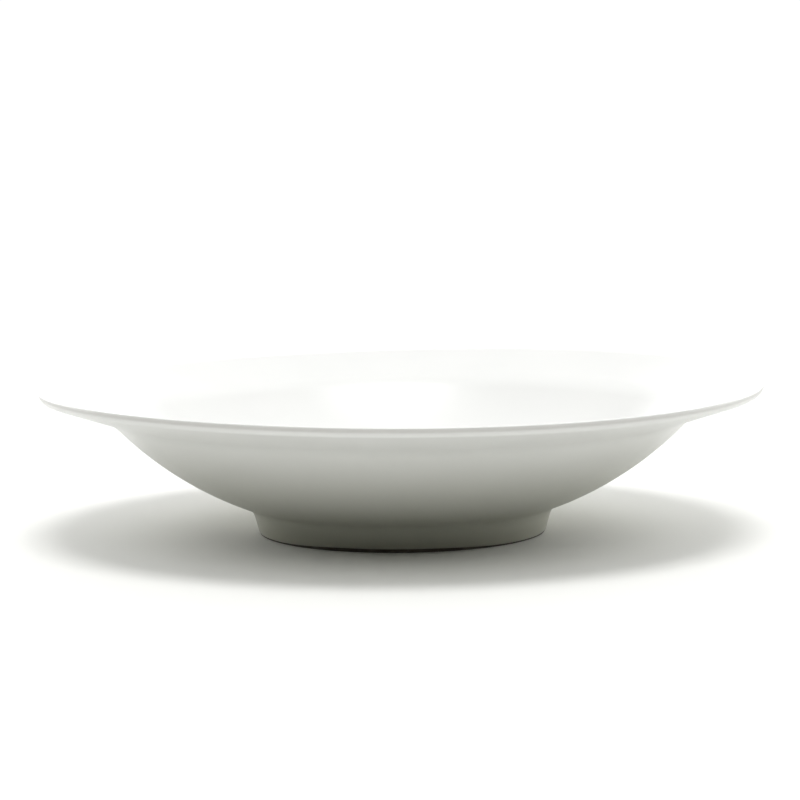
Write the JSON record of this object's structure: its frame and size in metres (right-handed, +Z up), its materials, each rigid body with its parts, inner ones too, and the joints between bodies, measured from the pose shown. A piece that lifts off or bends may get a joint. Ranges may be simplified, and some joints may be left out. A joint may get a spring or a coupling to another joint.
{
  "type": "serving bowl",
  "caption": "Wide, shallow stoneware serving bowl with a flared flange rim and a low foot ring, white glaze inside and out, a thin band of bare dark clay at the table.",
  "frame": {"origin": "on the table, under the middle of the bowl, at the centre of the foot ring's standing face", "axes": "+Z up along the bowl's axis of revolution; X and Y lie in the table plane"},
  "size_m": [0.36, 0.36, 0.0735],
  "materials": {
    "clay_body": "fired grey-brown stoneware under the glaze",
    "clay_foot": "bare fired grey-brown stoneware, rubbed smooth on the standing face",
    "clay_slip": "fired slip under the glaze",
    "glaze": "glossy white glaze",
    "glaze_under": "glossy white glaze, a little thinner"
  },
  "bodies": {
    "root": {"bowl_body": "clay_body", "foot_ring": "clay_foot", "luting_slip": "clay_slip", "glaze_coat": "glaze", "base_glaze": "glaze_under"}
  },
  "joints": []
}
